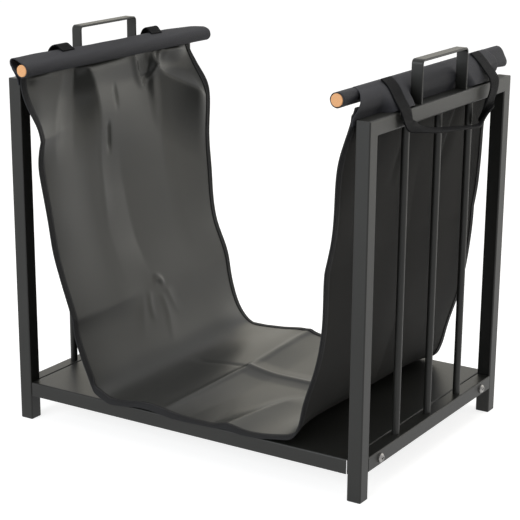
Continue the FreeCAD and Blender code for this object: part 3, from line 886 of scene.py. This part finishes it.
strapSettings = {
    "width": 26.0,
    "thickness": 2.0,
    "rows": 260,
    "faceSteps": 9,
    "roundSteps": 6,
    "right": {
        "sign": 1,
        "turn": ((246.0, 518.5), (262.0, 506.0)),  # X and Z where the sewn ends stop and the free loop starts
        "edges": [
            (242.5, -117, 520.3, 242.5, -91, 520.3), (247.8, -118, 517.4, 247.8, -92, 517.4),
            (253.4, -119.7, 513.2, 253.4, -93.5, 513.2), (259, -123, 508.6, 259, -96.5, 508.6),
            (263.8, -126, 503.9, 263.8, -99.5, 503.9), (270.5, -129, 496, 270.5, -102.5, 496),
            (276, -130.5, 489.5, 276, -104, 489.5), (279.5, -131, 483.5, 279.5, -104.5, 483),
            (281, -124, 474, 280, -105, 473), (284, -118, 463, 281, -99, 469.5),
            (290, -109, 459, 279.5, -86, 464.8), (298, -94, 456.5, 278, -71, 460),
            (302.5, -69.5, 453.4, 277, -56, 456), (303, -36, 450, 277, -28, 450),
            (303, 0, 446.6, 277, 2, 446), (303, 28, 443.3, 277, 34, 441.8), (299, 56, 441.3, 277, 66, 437),
            (292, 78, 443.5, 277, 89, 434.8), (287.5, 95, 446.8, 277.6, 102, 438),
            (284.5, 112, 452.5, 278.8, 107, 446.5), (283, 124, 461.5, 281, 106.5, 457),
            (284, 130, 470, 283, 108.5, 467), (285, 135, 482, 285, 111.5, 480),
            (282.8, 139.5, 490.8, 282.8, 114, 490), (276.5, 144, 497, 276.5, 118, 496.8),
            (269, 149, 502, 269, 123, 501.9), (261, 153.5, 508, 261, 127.5, 508),
            (253.4, 157, 513.4, 253.4, 131, 513.4), (247.8, 159, 517.4, 247.8, 133, 517.4),
            (242.5, 160, 520.3, 242.5, 134, 520.3),
        ],
    },
    "left": {
        "sign": -1,
        "turn": ((247.0, 515.5), (264.0, 512.5)),
        "edges": [
            (243.5, -122, 512.9, 243.5, -96, 512.9), (248.5, -123.5, 516.8, 248.5, -97.5, 516.8),
            (253.5, -125, 520.5, 253.5, -99, 520.5), (259.8, -127, 518.5, 259.8, -101, 518.5),
            (266, -128, 509, 266, -102, 509), (272.5, -128, 498.5, 272.5, -102, 498.5),
            (277.8, -127, 487, 277.8, -101, 487), (280, -123, 476, 279.5, -99, 475),
            (284, -118, 464, 279.5, -92, 466), (293, -104, 457, 278, -78, 459),
            (301, -82, 452.5, 277, -58, 452.5), (303, -50, 447.5, 277, -32, 447),
            (303, -10, 443, 277, 0, 442.5), (303, 30, 440.5, 277, 34, 440), (302, 58, 442, 277, 66, 443),
            (296, 78, 446.5, 278, 82, 452), (287, 94, 454, 279, 86, 463), (281.5, 104, 466, 279.5, 84, 473),
            (279, 110, 477, 279, 84, 482), (277.8, 112, 489, 277.8, 86, 490), (272, 112, 499, 272, 86, 499),
            (266, 111.5, 509, 266, 85.5, 509), (259.8, 111, 518.5, 259.8, 85, 518.5),
            (253.5, 110.5, 520.3, 253.5, 84.5, 520.3), (248.5, 110, 516.4, 248.5, 84, 516.4),
            (243.5, 109, 512.5, 243.5, 83, 512.5),
        ],
    },
}


def carryStrap(settings, side):
    # a flat rounded section halfway between the two edge lines, with its width set from one towards the other
    # and its thickness square to that and to the run
    own = settings[side]
    edges = np.array(own["edges"], float).reshape(-1, 2, 3)
    run = lengthAlong(edges.mean(axis=1))
    steps = np.linspace(0, run[-1], settings["rows"])
    outer, inner = smoothThrough(run, edges[:, 0], steps), smoothThrough(run, edges[:, 1], steps)
    line = (outer + inner) / 2
    heading = unit(np.gradient(line, axis=0))
    across = unit(inner - outer)
    facing = unit(np.cross(heading, across))
    half, edge = settings["width"] / 2, settings["thickness"] / 2
    flatPlaces = np.linspace(-half + edge, half - edge, settings["faceSteps"])
    turn = np.linspace(-np.pi / 2, np.pi / 2, settings["roundSteps"])[1:-1]
    acrossPlaces = np.concatenate((flatPlaces, half - edge + edge * np.cos(turn)))
    facePlaces = np.concatenate((np.full(settings["faceSteps"], -edge), edge * np.sin(turn)))
    acrossPlaces = np.concatenate((acrossPlaces, -acrossPlaces))
    facePlaces = np.concatenate((facePlaces, -facePlaces))
    section = line[:, None] + across[:, None] * acrossPlaces[:, None] + facing[:, None] * facePlaces[:, None]
    count = len(acrossPlaces)
    uv = np.stack(np.broadcast_arrays(steps[:, None], acrossPlaces[None]), axis=-1) * mm
    quads = gridFaces(settings["rows"], count, roundColumns=True)
    step = np.arange(count // 2)
    caps = endCaps((step - 2) % count, count - 3 - step, (settings["rows"] - 1) * count)
    return section * np.array([own["sign"], 1, 1]), np.concatenate((quads, caps)), uv, 0


for side in ("left", "right"):
    strap = makePiece(side + "CarryStrap", [carryStrap(strapSettings, side)], [webbingMaterial])
    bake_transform(strap)
    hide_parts(side + "_carry_strap")
print("bag made")

for side, length in (("left", 0.43), ("right", 0.446)):
    sleeve = bpy.data.objects[side + "DowelSleeve"]


# Floor, white surround and lights

stageSettings = {
    "rim": 14000.0,
    "floorColour": (0.5, 0.5, 0.5, 1),
    "floorRough": 0.9,
    "floorGlow": 0.8,
    "surround": 0.45,
    "lights": [  # name, place, aim, size, power, colour
        ("topSoftbox", (0.3, 0.3, 2.5), (0, 0, 0.2), (1.6, 1.6), 20, (1.0, 0.98, 0.92)),
        ("rightSoftbox", (1.70, 1.44, 0.8), (0, 0, 0.8), (0.9, 1.6), 8, (1.0, 0.96, 0.82)),
        ("backSoftbox", (0.5, 2.4, 0.6), (-0.2, 0, 0.3), (1.0, 1.0), 5.5, (1.0, 0.97, 0.86)),
        ("farSoftbox", (-1.30, 2.07, 0.82), (0.05, 0, 0.06), (1.4, 0.9), 2.4, (1.0, 0.88, 0.52)),
        ("frontFill", (-0.6, -2.8, 1.2), (0, 0, 0.25), (1.8, 1.8), 50, (0.93, 0.97, 1.0)),
    ],
}


def cameraRays(tree):
    # 1 for rays from the camera, mirrors and glass, so that they see the white of the studio
    path = tree.nodes.new("ShaderNodeLightPath")
    seen = mathNode(tree, "MAXIMUM", path.outputs["Is Camera Ray"], path.outputs["Is Glossy Ray"])
    return mathNode(tree, "MAXIMUM", seen, path.outputs["Is Transmission Ray"])


def makeStage(settings):
    rim = settings["rim"]
    grid = np.array([[(-rim, -rim, 0), (rim, -rim, 0)], [(-rim, rim, 0), (rim, rim, 0)]], float)
    values = {
        "Base Color": settings["floorColour"],
        "Roughness": settings["floorRough"],
        "Specular IOR Level": 0.0,
        "Emission Color": (1, 1, 1, 1),
    }
    material, tree, shader, place = newMaterial("studioFloor", **values)
    glow = mathNode(tree, "MULTIPLY", cameraRays(tree), settings["floorGlow"])
    tree.links.new(glow, shader.inputs["Emission Strength"])
    floor = makePiece("studioFloor", [(grid, gridFaces(2, 2), grid[..., :2] * mm, 0)], [material])
    world = bpy.data.worlds.new("studio")
    scene.world = world
    world.use_nodes = True
    background = world.node_tree.nodes["Background"]
    background.inputs["Color"].default_value = (1, 1, 1, 1)
    seen = cameraRays(world.node_tree)
    lifted = mathNode(world.node_tree, "MULTIPLY_ADD", seen, 1 - settings["surround"], settings["surround"])
    world.node_tree.links.new(lifted, background.inputs["Strength"])
    for name, place, aim, size, power, colour in settings["lights"]:
        lamp = bpy.data.lights.new(name, "AREA")
        lamp.shape = "RECTANGLE"
        lamp.size, lamp.size_y = size
        lamp.energy = power
        lamp.color = colour
        light = bpy.data.objects.new(name, lamp)
        light.visible_camera = False
        scene.collection.objects.link(light)
        back = unit(np.array(place, float) - np.array(aim, float))
        right = unit(np.cross((0, 0, 1.0), back))
        turned = Matrix(np.column_stack((right, np.cross(back, right), back)).tolist()).to_4x4()
        light.matrix_world = Matrix.Translation(place) @ turned


makeStage(stageSettings)
print("stage set")

bpy.context.view_layer.update()
